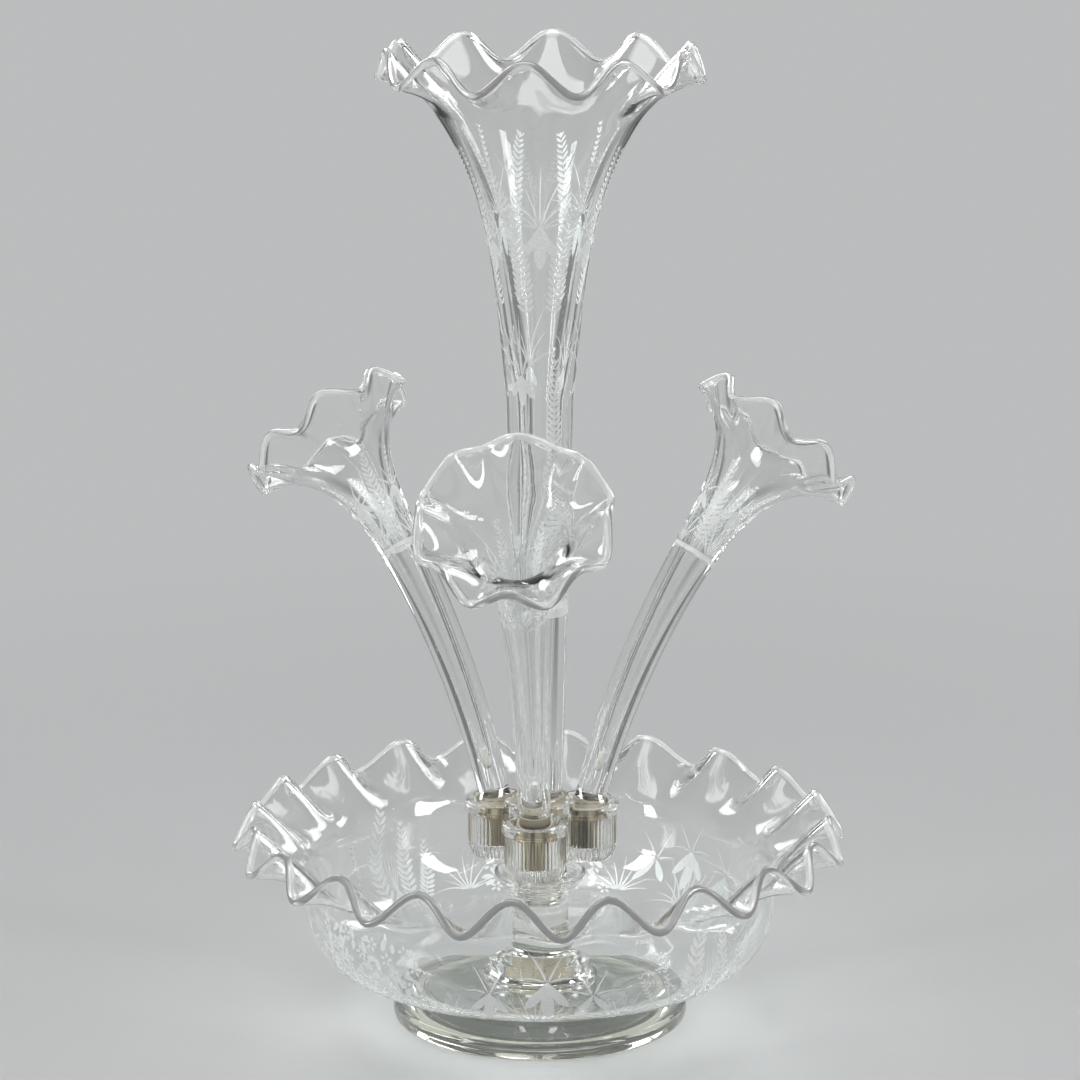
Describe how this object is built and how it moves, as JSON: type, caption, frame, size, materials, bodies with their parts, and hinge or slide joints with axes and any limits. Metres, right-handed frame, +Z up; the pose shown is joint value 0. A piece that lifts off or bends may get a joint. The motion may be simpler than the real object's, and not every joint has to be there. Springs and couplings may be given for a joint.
{
  "type": "epergne",
  "caption": "Clear glass table centrepiece: a ruffled bowl on a round foot, a pressed pedestal with a cluster of cups, and tall ruffled flower flutes.",
  "frame": {"origin": "on the bowl's axis, in the plane the foot stands on", "axes": "+Z up along the bowl's axis; -Y towards the side flute at the front"},
  "size_m": [0.3076, 0.3211, 0.4889],
  "materials": {
    "pressed_glass": "clear pressed glass, slightly rounded edges",
    "blown_glass": "clear blown glass with a fire-polished edge and light frosted engraving",
    "plaster": "matt beige plaster"
  },
  "bodies": {
    "stand": {"foot": "pressed_glass", "bowl": "blown_glass", "pedestal": "pressed_glass", "pedestal_cement": "plaster", "cup_cluster": "pressed_glass"},
    "centre_collar": {"centre_collar": "plaster"},
    "centre_flute": {"centre_flute": "blown_glass"},
    "front_collar": {"front_collar": "plaster"},
    "front_flute": {"front_flute": "blown_glass"},
    "right_collar": {"right_collar": "plaster"},
    "right_flute": {"right_flute": "blown_glass"},
    "left_collar": {"left_collar": "plaster"},
    "left_flute": {"left_flute": "blown_glass"}
  },
  "joints": [
    {"name": "centre_turn", "type": "hinge", "parent": "stand", "child": "centre_collar", "pos_m": [0, 0, 0.1], "axis": [0, 0, 1], "continuous": true},
    {"name": "centre_lift", "type": "slide", "parent": "centre_collar", "child": "centre_flute", "axis": [0, 0, 1], "range_m": [0, 0.06]},
    {"name": "front_turn", "type": "hinge", "parent": "stand", "child": "front_collar", "pos_m": [0, -0.0255, 0.1], "axis": [0, 0, 1], "range_deg": [-40, 40]},
    {"name": "front_lift", "type": "slide", "parent": "front_collar", "child": "front_flute", "axis": [0, -0.2756, 0.9613], "range_m": [0, 0.06]},
    {"name": "right_turn", "type": "hinge", "parent": "stand", "child": "right_collar", "pos_m": [0.02208, 0.01275, 0.1], "axis": [0, 0, 1], "range_deg": [-40, 40]},
    {"name": "right_lift", "type": "slide", "parent": "right_collar", "child": "right_flute", "axis": [0.2387, 0.1378, 0.9613], "range_m": [0, 0.06]},
    {"name": "left_turn", "type": "hinge", "parent": "stand", "child": "left_collar", "pos_m": [-0.02208, 0.01275, 0.1], "axis": [0, 0, 1], "range_deg": [-40, 40]},
    {"name": "left_lift", "type": "slide", "parent": "left_collar", "child": "left_flute", "axis": [-0.2387, 0.1378, 0.9613], "range_m": [0, 0.06]}
  ]
}
